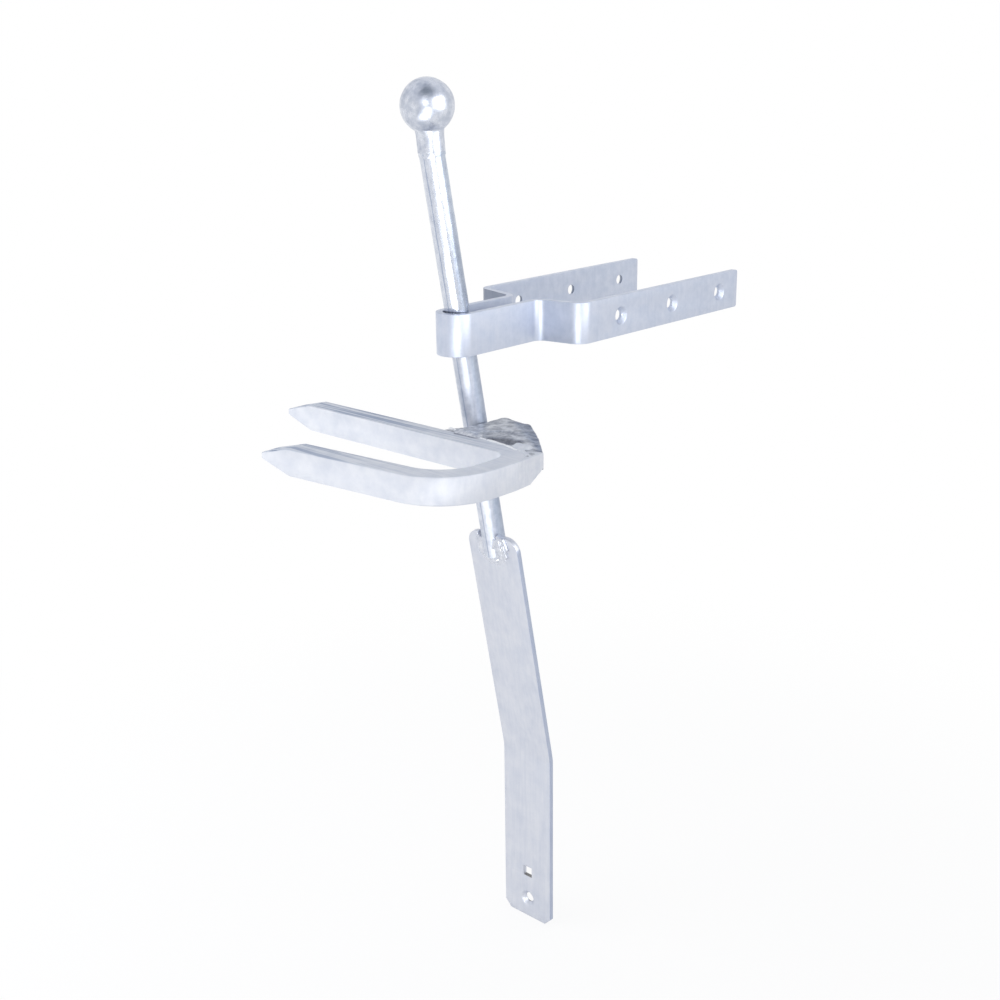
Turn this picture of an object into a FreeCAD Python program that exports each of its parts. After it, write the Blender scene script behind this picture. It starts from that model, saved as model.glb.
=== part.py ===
import FreeCAD, Part
import os
import Sketcher

# Spring loaded gate latch: a spring leaf with a knobbed rod, a strap that guides the rod,
# and a drive-in staple whose hook the rod springs behind. Millimetres, +Z up,
# +X along the gate rail away from the gate post, +Y through the gate.

doc = FreeCAD.newDocument("gate_latch")
sheet = doc.addObject("Spreadsheet::Sheet", "sizes")

SIZES = [
    ("leaf_width", 50, "spring leaf, flat bar"),
    ("leaf_thickness", 4, "spring leaf"),
    ("leaf_bend_height", 156, "height of the bend above the leaf's foot"),
    ("leaf_lean", 11.1, "lean of the upper leaf towards the post, degrees"),
    ("leaf_arm_length", 204, "upper leaf, along its slope"),
    ("leaf_bend_radius", 40, "inside radius of the bend"),
    ("leaf_foot_chamfer", 6, "both lower corners"),
    ("leaf_ear_radius", 10.5, "both upper corners"),
    ("leaf_screw_height", 16.8, "round hole above the foot"),
    ("leaf_screw_bore", 8, "round hole"),
    ("leaf_screw_sink", 3, "countersink, along and across"),
    ("leaf_bolt_height", 43.2, "square hole above the foot"),
    ("leaf_bolt_square", 9, "square hole for the neck of an M8 coach bolt"),
    ("rod_diameter", 18, "latch rod"),
    ("rod_length", 306, "latch rod"),
    ("rod_setback", 2.33, "rod axis at its lower end, behind the upper leaf's back face"),
    ("rod_foot_side", 4.2, "rod axis at its lower end, from the middle of the leaf"),
    ("rod_lean", 9, "lean towards the post, degrees"),
    ("rod_side_lean", 2, "lean through the gate, degrees"),
    ("rod_end_chamfer", 1, "both ends"),
    ("notch_depth", 21.2, "notch floor below the leaf's upper end"),
    ("notch_clearance", 0.3, "rod to notch, each side"),
    ("notch_floor_gap", 2, "filled with weld, rod end to notch floor"),
    ("knob_diameter", 37.4, "ball"),
    ("knob_neck_diameter", 19.2, "collar under the ball"),
    ("knob_ball_height", 30.7, "ball centre above the collar's end"),
    ("knob_crown_height", 18.7, "top of the ball above its centre"),
    ("knob_crown_flat", 0.2, "taken off the top of the ball"),
    ("knob_lean", 3.4, "lean towards the post, degrees"),
    ("knob_seat_gap", 1, "collar to rod end, on the axis, filled by weld"),
    ("knob_weld_rise", 1.4, "bead around the rod's upper end"),
    ("knob_weld_width", 2.8, "bead around the rod's upper end, along the rod"),
    ("rod_weld_rise", 2.2, "bead above the leaf's faces"),
    ("rod_weld_near", 8.5, "bead beyond the notch, on the side away from the gate's front"),
    ("rod_weld_far", 1.5, "bead beyond the notch, on the other side"),
    ("rod_weld_below", 1.5, "bead below the notch floor"),
    ("rod_weld_height", 20, "bead, above the notch floor"),
    ("rod_weld_corner", 8, "lower corners of the bead"),
    ("rod_weld_round", 1.5, "edges of the bead"),
    ("strap_thickness", 5, "guide strap"),
    ("strap_height", 30.6, "guide strap"),
    ("strap_foot", 498.4, "lower edge of the strap above the foot"),
    ("strap_slot_clearance", 1, "rod to strap, each side"),
    ("strap_bow_clearance", 4.3, "rod to the inside of the bow"),
    ("strap_rail_width", 98, "gate rail between the arms"),
    ("strap_rail_shift", 2, "middle of the rail from the middle of the slot"),
    ("strap_shoulder_slot", 7.5, "front of the shoulder at the slot, from the leaf's back face"),
    ("strap_shoulder_near_arm", 13, "front of the shoulder at the near arm, likewise"),
    ("strap_shoulder_far_arm", 19, "front of the shoulder at the far arm, likewise"),
    ("strap_reach", 216.6, "end of the arms, from the leaf's back face"),
    ("strap_bend_radius", 7, "inside radius of the shoulder bends"),
    ("strap_hole_margin", 25.8, "arm end to the first hole"),
    ("strap_hole_pitch", 65.6, "hole to hole"),
    ("strap_bore", 8, "holes"),
    ("strap_sink", 3, "countersink, along and across"),
    ("strap_corner_radius", 2, "arm ends"),
    ("bar_width", 18, "staple bar, across"),
    ("bar_height", 20.5, "staple bar, up"),
    ("staple_foot", 426, "underside of the staple above the foot"),
    ("staple_offset", -83, "outer face of the hook leg, from the leaf's back face"),
    ("staple_gap", 59, "between the legs, at the bow"),
    ("staple_bow", -88, "outside of the bow, from the middle of the leaf"),
    ("staple_splay", 5.1, "splay of the free leg, degrees"),
    ("staple_hook_leg_reach", 161.5, "tip of the hook leg, from the middle of the leaf"),
    ("staple_free_leg_reach", 81, "tip of the free leg, from the middle of the leaf"),
    ("staple_tight_radius", 12, "inside radius at the hook leg"),
    ("staple_wide_radius", 30, "inside radius at the free leg"),
    ("staple_edge", 1, "bevel along the outer edges"),
    ("tip_length", 27, "chisel point"),
    ("tip_upper_drop", 7, "chisel point, upper bevel"),
    ("tip_lower_drop", 9, "chisel point, lower bevel"),
    ("catch_clearance", 0.7, "rod to the hook's catching face"),
    ("hook_reach", 54.5, "nose beyond the staple's leg"),
    ("hook_nose_width", 25, "flat of the nose"),
    ("hook_ramp_angle", 47.7, "ramp to the rail's direction, degrees"),
    ("hook_end_inset", 3.5, "ramp's end to the outside of the bow"),
    ("hook_toe_reach", 19, "toe of the catching face on the leg"),
    ("hook_toe_rise", 9.4, "toe of the catching face on the leg"),
    ("hook_arm_width", 28.6, "catching face to the hollow"),
    ("hook_hollow_width", 14, "hollow, from the leg"),
    ("hook_hollow_back", 13, "hollow, along its far side"),
    ("hook_hollow_slant", 15, "hollow, longer at the leg"),
    ("hook_nose_radius", 4, "nose edges"),
    ("hook_ramp_bulge", 1.6, "ramp, out of straight at its middle"),
    ("hook_thickness", 13, "hook plate, flush with the top of the staple"),
    ("hook_weld_width", 9, "beads on the seam, across"),
    ("hook_weld_rise", 2.5, "beads on the seam, above the bar"),
    ("hook_weld_length", 26, "bead at the catching face's arm"),
    ("hook_weld_end_length", 16, "bead at the ramp's arm"),
    ("hook_weld_end_inset", 20, "bead at the ramp's arm, from the outside of the bow"),
]


def fill_sheet():
    for row, (name, value, meaning) in enumerate(SIZES, 1):
        sheet.set("A%d" % row, name)
        sheet.set("B%d" % row, str(value))
        sheet.set("C%d" % row, meaning)
        sheet.setAlias("B%d" % row, name)
    doc.recompute()


# Places that several pieces share, as expressions on the sheet.

def tangent(angle):
    return "tan(%s * 1 deg)" % angle


LEAN_SIN = "sin(sizes.leaf_lean * 1 deg)"
LEAN_COS = "cos(sizes.leaf_lean * 1 deg)"
LEAF_TOP = "(sizes.leaf_bend_height + sizes.leaf_arm_length * %s)" % LEAN_COS
NOTCH_FLOOR = "(%s - sizes.notch_depth)" % LEAF_TOP
ROD_FOOT_Z = "(%s + sizes.notch_floor_gap)" % NOTCH_FLOOR
LEAF_RUN = "((%s - sizes.leaf_bend_height) * %s)" % (ROD_FOOT_Z, tangent("sizes.leaf_lean"))
LEAF_BACK = "(sizes.leaf_thickness / %s - sizes.leaf_thickness - %s)" % (LEAN_COS, LEAF_RUN)
ROD_FOOT_X = "(%s + sizes.rod_setback)" % LEAF_BACK


def rod_x_at(height):
    return "(%s - (%s - %s) * %s)" % (ROD_FOOT_X, height, ROD_FOOT_Z, tangent("sizes.rod_lean"))


def rod_y_at(height):
    return "(sizes.rod_foot_side + (%s - %s) * %s)" % (
        height, ROD_FOOT_Z, tangent("sizes.rod_side_lean"))


STRAP_MIDDLE = "(sizes.strap_foot + sizes.strap_height / 2)"
SLOT_Y = rod_y_at(STRAP_MIDDLE)
SLOT_INNER = "(sizes.rod_diameter / 2 + sizes.strap_slot_clearance)"
SLOT_OUTER = "(%s + sizes.strap_thickness)" % SLOT_INNER
ARM_OUTER = "(sizes.strap_rail_width / 2 + sizes.strap_thickness)"
BOW_X = "(%s - sizes.rod_diameter / 2 - sizes.strap_bow_clearance - sizes.strap_thickness)" % (
    rod_x_at(STRAP_MIDDLE))
CATCH_Y = "(%s - sizes.rod_diameter / 2 - sizes.catch_clearance)" % rod_y_at("sizes.staple_foot")


def value_of(expression):
    result = sheet.evalExpression(expression)
    return float(getattr(result, "Value", result))


# Helpers for bodies and sketches.

def new_body(name):
    body = doc.addObject("PartDesign::Body", name)
    body.Label = name
    return body


def new_sketch(body, name, role):
    sketch = body.newObject("Sketcher::SketchObject", name)
    planes = [f for f in body.Origin.OriginFeatures if f.Role == role]
    sketch.AttachmentSupport = [(planes[0], "")]
    sketch.MapMode = "FlatFace"
    return sketch


def hold(sketch, geometry, point, spot):
    """Hold a point of the sketch at two expressions, measured from the sketch's origin."""
    for kind, expression in zip(("DistanceX", "DistanceY"), spot):
        number = sketch.addConstraint(
            Sketcher.Constraint(kind, -1, 1, geometry, point, value_of(expression)))
        sketch.setExpression("Constraints[%d]" % number, expression)


def draw_outline(sketch, corners):
    """Draw a closed outline whose corners are held by expressions."""
    spots = [FreeCAD.Vector(value_of(x), value_of(y), 0) for x, y in corners]
    first = sketch.GeometryCount
    count = len(spots)
    for k in range(count):
        sketch.addGeometry(Part.LineSegment(spots[k], spots[(k + 1) % count]), False)
    for k in range(count):
        sketch.addConstraint(
            Sketcher.Constraint("Coincident", first + k, 2, first + (k + 1) % count, 1))
    for k, corner in enumerate(corners):
        hold(sketch, first + k, 1, corner)


def draw_circle(sketch, centre, diameter):
    spot = FreeCAD.Vector(value_of(centre[0]), value_of(centre[1]), 0)
    number = sketch.addGeometry(
        Part.Circle(spot, FreeCAD.Vector(0, 0, 1), value_of(diameter) / 2), False)
    hold(sketch, number, 3, centre)
    held = sketch.addConstraint(Sketcher.Constraint("Diameter", number, value_of(diameter)))
    sketch.setExpression("Constraints[%d]" % held, diameter)


def pad(body, name, sketch, length, both_ways=False):
    feature = body.newObject("PartDesign::Pad", name)
    feature.Profile = sketch
    feature.SideType = "Symmetric" if both_ways else "One side"
    feature.setExpression("Length", length)
    doc.recompute()
    return feature


def pocket_through(body, name, sketch):
    feature = body.newObject("PartDesign::Pocket", name)
    feature.Profile = sketch
    feature.SideType = "Two sides"
    feature.Type = "ThroughAll"
    feature.Type2 = "ThroughAll"
    doc.recompute()
    return feature


def edges_of(feature, wanted):
    edges = feature.Shape.Edges
    return ["Edge%d" % (k + 1) for k, edge in enumerate(edges) if wanted(edge)]


def near(a, b):
    return abs(a - b) < 0.01


def upright_at(x, y):
    """Pick the upright edges that stand at one place in plan."""
    def wanted(edge):
        ends = edge.BoundBox
        flat = ends.XLength < 0.01 and ends.YLength < 0.01
        return flat and near(ends.XMin, x) and near(ends.YMin, y)
    return wanted


def dress(body, kind, name, feature, edges, size):
    """Add a fillet or chamfer to the named edges of the body's last feature."""
    made = body.newObject("PartDesign::" + kind, name)
    made.Base = (feature, edges)
    made.setExpression("Radius" if kind == "Fillet" else "Size", size)
    doc.recompute()
    return made


def round_corners(body, feature, corners):
    """Round upright corners in plan, given as (name, x, y, radius) with expressions."""
    for name, x, y, radius in corners:
        edges = edges_of(feature, upright_at(value_of(x), value_of(y)))
        feature = dress(body, "Fillet", name, feature, edges, radius)
    return feature


def lean_like(thing, foot, lean, side_lean):
    """Stand a body on a foot point, leaning towards the post and through the gate."""
    for axis, expression in zip("xyz", foot):
        thing.setExpression("Placement.Base." + axis, expression)
    back, side = tangent(lean), tangent(side_lean)
    thing.setExpression("Placement.Rotation.Axis.x", "-" + side)
    thing.setExpression("Placement.Rotation.Axis.y", "-" + back)
    thing.setExpression("Placement.Rotation.Axis.z", "0")
    thing.setExpression("Placement.Rotation.Angle", "atan(sqrt(%s^2 + %s^2))" % (back, side))


# Spring leaf.

def leaf_outline():
    """Side view of the bent flat bar, in X and Z."""
    bend_back = "(sizes.leaf_bend_height + sizes.leaf_thickness * %s)" % (
        tangent("(sizes.leaf_lean / 2)"))
    top_x = "(-sizes.leaf_thickness - sizes.leaf_arm_length * %s)" % LEAN_SIN
    return [
        ("-sizes.leaf_thickness", "0"),
        ("0", "0"),
        ("0", bend_back),
        ("%s + sizes.leaf_thickness * %s" % (top_x, LEAN_COS),
         "%s + sizes.leaf_thickness * %s" % (LEAF_TOP, LEAN_SIN)),
        (top_x, LEAF_TOP),
        ("-sizes.leaf_thickness", "sizes.leaf_bend_height"),
    ]


def notch_outline():
    """Slot in the upper end that takes the rod, in Y and Z, leaning as the rod does."""
    above = "(%s + 2 * sizes.leaf_thickness)" % LEAF_TOP
    half = "(sizes.rod_diameter / 2 + sizes.notch_clearance)"
    return [
        ("%s - %s" % (rod_y_at(NOTCH_FLOOR), half), NOTCH_FLOOR),
        ("%s + %s" % (rod_y_at(NOTCH_FLOOR), half), NOTCH_FLOOR),
        ("%s + %s" % (rod_y_at(above), half), above),
        ("%s - %s" % (rod_y_at(above), half), above),
    ]


def make_spring_leaf():
    body = new_body("spring_leaf")
    side = new_sketch(body, "leaf_side", "XZ_Plane")
    draw_outline(side, leaf_outline())
    feature = pad(body, "leaf_bar", side, "sizes.leaf_width", True)

    def bend_line(edge):
        box = edge.BoundBox
        level = box.ZLength < 0.01 and box.XLength < 0.01
        return level and abs(box.ZMin - value_of("sizes.leaf_bend_height")) < 2

    edges = edges_of(feature, bend_line)
    front = [e for e in edges if feature.Shape.getElement(e).BoundBox.XMax < -0.01]
    feature = dress(body, "Fillet", "leaf_bend_front", feature, front, "sizes.leaf_bend_radius")
    back = [e for e in edges_of(feature, bend_line)
            if near(feature.Shape.getElement(e).BoundBox.XMax, 0)]
    feature = dress(body, "Fillet", "leaf_bend_back", feature, back,
                    "sizes.leaf_bend_radius + sizes.leaf_thickness")
    feature = cut_leaf_openings(body)
    shape_leaf_corners(body, feature)
    return body


def cut_leaf_openings(body):
    face = new_sketch(body, "leaf_openings", "YZ_Plane")
    draw_outline(face, notch_outline())
    draw_circle(face, ("0", "sizes.leaf_screw_height"), "sizes.leaf_screw_bore")
    half = "sizes.leaf_bolt_square / 2"
    low = "sizes.leaf_bolt_height - %s" % half
    high = "sizes.leaf_bolt_height + %s" % half
    draw_outline(face, [("-" + half, low), (half, low), (half, high), ("-" + half, high)])
    return pocket_through(body, "leaf_cuts", face)


def shape_leaf_corners(body, feature):
    half_width = value_of("sizes.leaf_width / 2")

    def foot_corner(edge):
        box = edge.BoundBox
        return near(abs(box.YMin), half_width) and box.YLength < 0.01 and box.ZMax < 0.01

    feature = dress(body, "Chamfer", "leaf_foot", feature,
                    edges_of(feature, foot_corner), "sizes.leaf_foot_chamfer")

    def ear_corner(edge):
        box = edge.BoundBox
        high = box.ZMin > value_of(NOTCH_FLOOR)
        across = box.XLength > box.ZLength
        return high and across and near(abs(box.YMin), half_width) and box.YLength < 0.01

    feature = dress(body, "Fillet", "leaf_ears", feature,
                    edges_of(feature, ear_corner), "sizes.leaf_ear_radius")

    def screw_mouth(edge):
        round_edge = edge.Curve.TypeId == "Part::GeomCircle"
        front = near(edge.BoundBox.XMax, -value_of("sizes.leaf_thickness"))
        return round_edge and front and edge.BoundBox.ZMax < value_of("sizes.leaf_bolt_height")

    dress(body, "Chamfer", "leaf_sink", feature,
          edges_of(feature, screw_mouth), "sizes.leaf_screw_sink")


# Rod, knob and the welds that join them.

KNOB_CHORDS = 20

def make_rod():
    body = new_body("latch_rod")
    end = new_sketch(body, "rod_end", "XY_Plane")
    draw_circle(end, ("0", "0"), "sizes.rod_diameter")
    feature = pad(body, "rod_bar", end, "sizes.rod_length")
    rims = edges_of(feature, lambda edge: edge.Curve.TypeId == "Part::GeomCircle")
    dress(body, "Chamfer", "rod_ends", feature, rims, "sizes.rod_end_chamfer")
    lean_like(body, (ROD_FOOT_X, "sizes.rod_foot_side", ROD_FOOT_Z), "sizes.rod_lean", "sizes.rod_side_lean")
    return body


def rod_point(distance):
    """A point on the rod's axis, at a distance from the rod's lower end."""
    back, side = tangent("sizes.rod_lean"), tangent("sizes.rod_side_lean")
    rise = "((%s) / sqrt(1 + %s^2 + %s^2))" % (distance, back, side)
    return (
        "%s - %s * %s" % (ROD_FOOT_X, rise, back),
        "sizes.rod_foot_side + %s * %s" % (rise, side),
        "%s + %s" % (ROD_FOOT_Z, rise),
    )


def knob_outline():
    """Half of the knob's profile: the collar, then the ball in short equal chords."""
    neck = "(sizes.knob_neck_diameter / 2)"
    radius = "(sizes.knob_diameter / 2)"
    crown = "(sizes.knob_crown_height - sizes.knob_crown_flat)"
    low = "(-acos(%s / %s))" % (neck, radius)
    high = "asin(%s / %s)" % (crown, radius)
    corners = [("0", "0"), (neck, "0")]
    for k in range(KNOB_CHORDS + 1):
        angle = "(%s + (%s - %s) * %d / %d)" % (low, high, low, k, KNOB_CHORDS)
        corners.append(("%s * cos(%s)" % (radius, angle),
                        "sizes.knob_ball_height + %s * sin(%s)" % (radius, angle)))
    corners.append(("0", "sizes.knob_ball_height + " + crown))
    return corners


def make_knob():
    body = new_body("ball_knob")
    half = new_sketch(body, "knob_half", "XZ_Plane")
    draw_outline(half, knob_outline())
    turn = body.newObject("PartDesign::Revolution", "knob_turned")
    turn.Profile = half
    turn.ReferenceAxis = (half, ["V_Axis"])
    turn.Angle = 360
    doc.recompute()
    foot = rod_point("sizes.rod_length + sizes.knob_seat_gap")
    lean_like(body, foot, "sizes.knob_lean", "sizes.rod_side_lean")
    return body


def make_knob_weld(rod, knob):
    """A bead of weld in the groove between the rod's upper end and the knob's collar."""
    body = new_body("knob_weld_ring")
    plan = new_sketch(body, "knob_weld_plan", "XY_Plane")
    draw_circle(plan, ("0", "0"), "sizes.rod_diameter + 2 * sizes.knob_weld_rise")
    pad(body, "knob_weld_disc", plan, "sizes.knob_weld_width", True)
    centre = rod_point("sizes.rod_length + sizes.knob_seat_gap / 2")
    lean_like(body, centre, "(sizes.rod_lean + sizes.knob_lean) / 2", "sizes.rod_side_lean")
    outside_rod = cut_away("knob_weld_on_rod", body, rod)
    return cut_away("knob_weld", outside_rod, knob)


def cut_away(name, thing, tool):
    made = doc.addObject("Part::Cut", name)
    made.Label = name
    made.Base = thing
    made.Tool = tool
    doc.recompute()
    return made


def weld_tongue_outline():
    """Outline of the rod's weld on the leaf, in Y and along the leaf's slope."""
    half = "(sizes.rod_diameter / 2 + sizes.notch_clearance)"
    near_side = "(-%s - sizes.rod_weld_near)" % half
    far_side = "(%s + sizes.rod_weld_far)" % half
    low, high = "-sizes.rod_weld_below", "sizes.rod_weld_height"
    return [(near_side, low), (far_side, low), (far_side, high), (near_side, high)]


def make_rod_weld(leaf, rod):
    body = new_body("rod_weld_blank")
    face = new_sketch(body, "rod_weld_outline", "YZ_Plane")
    corners = weld_tongue_outline()
    draw_outline(face, corners)
    feature = pad(body, "rod_weld_bar", face,
                  "sizes.leaf_thickness + 2 * sizes.rod_weld_rise", True)
    low = value_of(corners[0][1])

    def lower_corner(edge):
        box = edge.BoundBox
        return box.YLength < 0.01 and near(box.ZMax, low)

    feature = dress(body, "Chamfer", "rod_weld_corners", feature,
                    edges_of(feature, lower_corner), "sizes.rod_weld_corner")

    def face_rim(edge):
        return edge.BoundBox.XLength < 0.01

    dress(body, "Chamfer", "rod_weld_edges", feature,
          edges_of(feature, face_rim), "sizes.rod_weld_round")
    slope = "((%s - sizes.leaf_bend_height - sizes.leaf_thickness / 2 * %s) / %s)" % (
        NOTCH_FLOOR, LEAN_SIN, LEAN_COS)
    body.setExpression("Placement.Base.x", "-sizes.leaf_thickness - %s * %s"
                       " + sizes.leaf_thickness / 2 * %s" % (slope, LEAN_SIN, LEAN_COS))
    body.setExpression("Placement.Base.y", rod_y_at(NOTCH_FLOOR))
    body.setExpression("Placement.Base.z", NOTCH_FLOOR)
    body.setExpression("Placement.Rotation.Axis.x", "0")
    body.setExpression("Placement.Rotation.Axis.y", "-1")
    body.setExpression("Placement.Rotation.Axis.z", "0")
    body.setExpression("Placement.Rotation.Angle", "sizes.leaf_lean")
    beside_rod = cut_away("rod_weld_beside_rod", body, rod)
    return cut_away("rod_weld", beside_rod, leaf)


# Guide strap.

def strap_side(sign, shoulder):
    """Outside and inside corners of one half of the strap, from the arm's end to the bow."""
    middle = "(%s + sizes.strap_rail_shift)" % SLOT_Y
    arm_outer = "(%s %s %s)" % (middle, sign, ARM_OUTER)
    arm_inner = "(%s %s sizes.strap_rail_width / 2)" % (middle, sign)
    slot_outer = "(%s %s %s)" % (SLOT_Y, sign, SLOT_OUTER)
    slot_inner = "(%s %s %s)" % (SLOT_Y, sign, SLOT_INNER)
    run = "(%s - %s %s sizes.strap_rail_shift)" % (ARM_OUTER, SLOT_OUTER, sign)
    slant = "atan((%s - sizes.strap_shoulder_slot) / %s)" % (shoulder, run)
    shift = " + sizes.strap_thickness * tan((90 deg - %s) / 2)" % slant
    outside = [
        ("sizes.strap_reach", arm_outer),
        (shoulder, arm_outer),
        ("sizes.strap_shoulder_slot", slot_outer),
        (BOW_X, slot_outer),
    ]
    inside = [
        ("sizes.strap_reach", arm_inner),
        (shoulder + shift, arm_inner),
        ("sizes.strap_shoulder_slot" + shift, slot_inner),
        (BOW_X + " + sizes.strap_thickness", slot_inner),
    ]
    return outside, inside


def strap_corners():
    """Corners of the strap in plan: outside from the near arm around, then back inside."""
    near_outside, near_inside = strap_side("-", "sizes.strap_shoulder_near_arm")
    far_outside, far_inside = strap_side("+", "sizes.strap_shoulder_far_arm")
    return near_outside + far_outside[::-1] + far_inside + near_inside[::-1]


def strap_bends(corners):
    small = "sizes.strap_bend_radius"
    large = "sizes.strap_bend_radius + sizes.strap_thickness"
    bow_outer, bow_inner = "%s - 0.2" % SLOT_OUTER, "%s - 0.2" % SLOT_INNER
    turns = [None, large, small, bow_outer, bow_outer, small, large, None,
             None, small, large, bow_inner, bow_inner, large, small, None]
    bends = []
    for k, (corner, radius) in enumerate(zip(corners, turns)):
        if radius:
            bends.append(("strap_bend_%d" % k, corner[0], corner[1], radius))
    return bends


def make_guide_strap():
    body = new_body("guide_strap")
    plan = new_sketch(body, "strap_plan", "XY_Plane")
    corners = strap_corners()
    draw_outline(plan, corners)
    feature = pad(body, "strap_bar", plan, "sizes.strap_height")
    feature = round_corners(body, feature, strap_bends(corners))
    reach = value_of("sizes.strap_reach")

    def arm_end_corner(edge):
        box = edge.BoundBox
        return near(box.XMin, reach) and box.ZLength < 0.01

    feature = dress(body, "Fillet", "strap_ends", feature,
                    edges_of(feature, arm_end_corner), "sizes.strap_corner_radius")
    side = new_sketch(body, "strap_holes", "XZ_Plane")
    for k in range(3):
        x = "sizes.strap_reach - sizes.strap_hole_margin - %d * sizes.strap_hole_pitch" % k
        draw_circle(side, (x, "sizes.strap_height / 2"), "sizes.strap_bore")
    feature = pocket_through(body, "strap_bores", side)
    corners = strap_corners()
    outer = [value_of(corners[k][1]) for k in (0, 7)]

    def hole_mouth(edge):
        if edge.Curve.TypeId != "Part::GeomCircle":
            return False
        box = edge.BoundBox
        full = near(edge.Curve.Radius, value_of("sizes.strap_bore / 2"))
        return full and box.YLength < 0.01 and any(near(box.YMin, y) for y in outer)

    dress(body, "Chamfer", "strap_sinks", feature,
          edges_of(feature, hole_mouth), "sizes.strap_sink")
    body.setExpression("Placement.Base.z", "sizes.strap_foot")
    return body


# Drive-in staple with its hook.

SPLAY = "sizes.staple_splay * 1 deg"
LEG_INNER = "(sizes.staple_offset - sizes.bar_width)"
BOW_INNER = "(sizes.staple_bow + sizes.bar_width)"


def staple_corners():
    """Corners of the staple in plan: outside from the hook leg's tip, then back inside."""
    free_inner = "(%s - sizes.staple_gap)" % LEG_INNER
    free_outer = "(%s - sizes.bar_width * tan((90 deg - %s) / 2))" % (free_inner, SPLAY)
    tip_x = "(%s - (sizes.staple_free_leg_reach - sizes.staple_bow) * tan(%s))" % (
        free_outer, SPLAY)
    return [
        ("sizes.staple_offset", "sizes.staple_hook_leg_reach"),
        ("sizes.staple_offset", "sizes.staple_bow"),
        (free_outer, "sizes.staple_bow"),
        (tip_x, "sizes.staple_free_leg_reach"),
        ("%s + sizes.bar_width * cos(%s)" % (tip_x, SPLAY),
         "sizes.staple_free_leg_reach + sizes.bar_width * sin(%s)" % SPLAY),
        (free_inner, BOW_INNER),
        (LEG_INNER, BOW_INNER),
        (LEG_INNER, "sizes.staple_hook_leg_reach"),
    ]


def tip_wedges(reach):
    """Two wedges that leave a chisel point, in Y and Z."""
    end = "%s + sizes.tip_length / 2" % reach
    start = "%s - sizes.tip_length" % reach
    upper = [(start, "sizes.bar_height"),
             (end, "sizes.bar_height - 1.5 * sizes.tip_upper_drop"),
             (end, "sizes.bar_height")]
    lower = [(start, "0"), (end, "0"), (end, "1.5 * sizes.tip_lower_drop")]
    return upper, lower


def cut_tip(body, name, reach, from_x):
    side = new_sketch(body, name + "_side", "YZ_Plane")
    side.setExpression("AttachmentOffset.Base.z", from_x)
    for wedge in tip_wedges(reach):
        draw_outline(side, wedge)
    feature = body.newObject("PartDesign::Pocket", name)
    feature.Profile = side
    feature.Type = "ThroughAll"
    doc.recompute()
    return feature


def make_staple():
    body = new_body("catch_staple")
    plan = new_sketch(body, "staple_plan", "XY_Plane")
    corners = staple_corners()
    draw_outline(plan, corners)
    feature = pad(body, "staple_bar", plan, "sizes.bar_height")
    tight, wide = "sizes.staple_tight_radius", "sizes.staple_wide_radius"
    bends = [
        ("staple_bend_tight_outside", *corners[1], tight + " + sizes.bar_width"),
        ("staple_bend_wide_outside", *corners[2], wide + " + sizes.bar_width"),
        ("staple_bend_wide_inside", *corners[5], wide),
        ("staple_bend_tight_inside", *corners[6], tight),
    ]
    feature = round_corners(body, feature, bends)
    feature = bevel_outside(body, feature, corners)
    cut_tip(body, "hook_leg_tip", "sizes.staple_hook_leg_reach", "0")
    middle = "%s - sizes.staple_gap / 2" % LEG_INNER
    cut_tip(body, "free_leg_tip", "sizes.staple_free_leg_reach", middle)
    body.setExpression("Placement.Base.z", "sizes.staple_foot")
    return body


def bevel_outside(body, feature, corners):
    """Break the long edges on the outside of the staple, above and below."""
    leg_x = value_of(corners[0][0])
    bow_y = value_of(corners[1][1])
    start = FreeCAD.Vector(value_of(corners[2][0]), bow_y, 0)
    end = FreeCAD.Vector(value_of(corners[3][0]), value_of(corners[3][1]), 0)
    run = (end - start).normalize()
    radii = [value_of("sizes.%s + sizes.bar_width" % name)
             for name in ("staple_tight_radius", "staple_wide_radius")]

    def outside(edge):
        box = edge.BoundBox
        if box.ZLength > 0.01:
            return False
        if edge.Curve.TypeId == "Part::GeomCircle":
            return any(near(edge.Curve.Radius, radius) for radius in radii)
        on_leg = near(box.XMin, leg_x) and near(box.XMax, leg_x)
        on_bow = near(box.YMin, bow_y) and near(box.YMax, bow_y)
        spots = [FreeCAD.Vector(v.X, v.Y, 0) - start for v in edge.Vertexes]
        on_free_leg = all(spot.cross(run).Length < 0.01 for spot in spots)
        return on_leg or on_bow or on_free_leg

    return dress(body, "Chamfer", "staple_bevel", feature,
                 edges_of(feature, outside), "sizes.staple_edge")


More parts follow.
